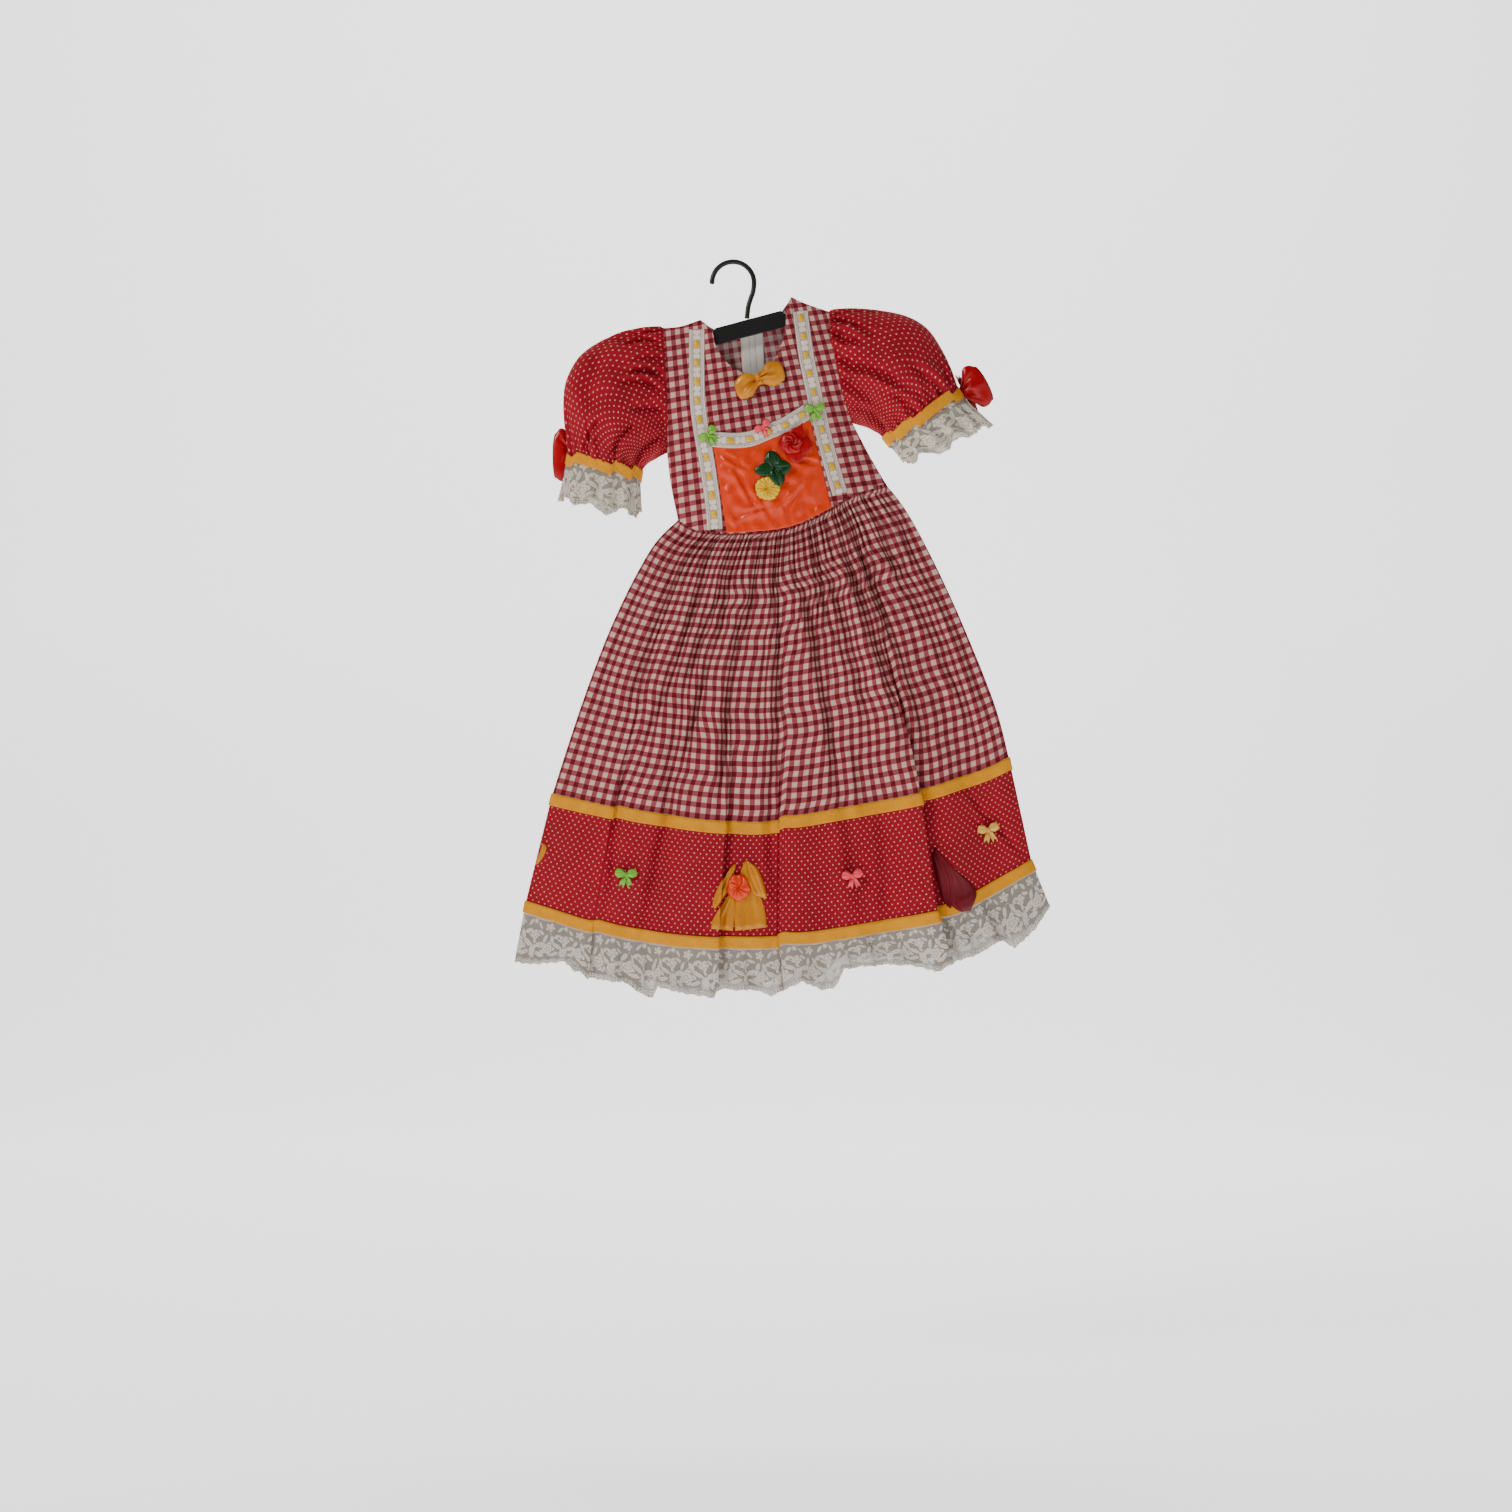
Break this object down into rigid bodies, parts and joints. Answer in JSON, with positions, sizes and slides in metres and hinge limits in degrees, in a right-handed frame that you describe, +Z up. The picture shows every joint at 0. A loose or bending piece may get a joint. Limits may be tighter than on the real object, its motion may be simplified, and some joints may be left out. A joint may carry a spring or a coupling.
{
  "type": "festa junina dress on a hanger",
  "caption": "Girl's full-skirted party dress with puff sleeves, a patch pocket, lace, bows and a zip at the back, hanging on a plain hanger by its hook.",
  "frame": {"origin": "inner top of the hanger hook, where a rail or peg carries it", "axes": "+X to the right seen from the front, +Y to the back, +Z up"},
  "size_m": [0.6542, 0.1005, 0.8971],
  "materials": {
    "gingham_cotton": "woven check, matte",
    "yellow_bias_tape": "folded cotton tape, matte",
    "dotted_cotton": "printed pin dots, matte",
    "scalloped_lace": "net lace with floral scallops",
    "red_satin": "satin",
    "insertion_lace": "beading lace with ribbon",
    "orange_satin": "satin",
    "zip_tape": "woven tape",
    "zip_metal": "nickel plated",
    "yellow_satin": "satin",
    "green_satin": "satin",
    "pink_satin": "satin",
    "pale_green_satin": "satin",
    "cream_satin": "satin",
    "wine_satin": "satin",
    "hanger_plastic": "smooth black",
    "hook_wire": "dark plated wire"
  },
  "bodies": {
    "dress": {"skirt_front": "gingham_cotton", "tape_upper_front": "yellow_bias_tape", "band_front": "dotted_cotton", "tape_lower_front": "yellow_bias_tape", "hem_lace_front": "scalloped_lace", "skirt_back": "gingham_cotton", "tape_upper_back": "yellow_bias_tape", "band_back": "dotted_cotton", "tape_lower_back": "yellow_bias_tape", "hem_lace_back": "scalloped_lace", "bodice_front": "gingham_cotton", "bodice_back_left": "gingham_cotton", "bodice_back_right": "gingham_cotton", "sleeve_left": "dotted_cotton", "cuff_tape_left": "yellow_bias_tape", "cuff_lace_left": "scalloped_lace", "bow_cuff_left": "red_satin", "sleeve_right": "dotted_cotton", "cuff_tape_right": "yellow_bias_tape", "cuff_lace_right": "scalloped_lace", "bow_cuff_right": "red_satin", "lace_strip_left": "insertion_lace", "lace_strip_right": "insertion_lace", "lace_strip_across": "insertion_lace", "pocket": "orange_satin", "flower_band": "orange_satin", "zip_tape": "zip_tape", "zip_slider": "zip_metal", "bow_neck": "yellow_satin", "bow_band_yellow": "yellow_satin", "bow_band_left": "yellow_satin", "flower_yellow": "yellow_satin", "flower_green": "green_satin", "bow_pink": "pink_satin", "bow_band_pink": "pink_satin", "bow_band_green": "pale_green_satin", "bow_green_left": "pale_green_satin", "bow_green_right": "pale_green_satin", "bow_band_cream": "cream_satin", "bow_band_wine": "wine_satin", "flower_red": "red_satin", "hanger_bar": "hanger_plastic", "hanger_hook": "hook_wire"},
    "zip_pull": {"zip_pull": "zip_metal"}
  },
  "joints": [
    {"name": "zip_pull_hinge", "type": "hinge", "parent": "dress", "child": "zip_pull", "pos_m": [0.0243, 0.01812, -0.09216], "axis": [1, 0, 0], "range_deg": [0, 160]}
  ]
}
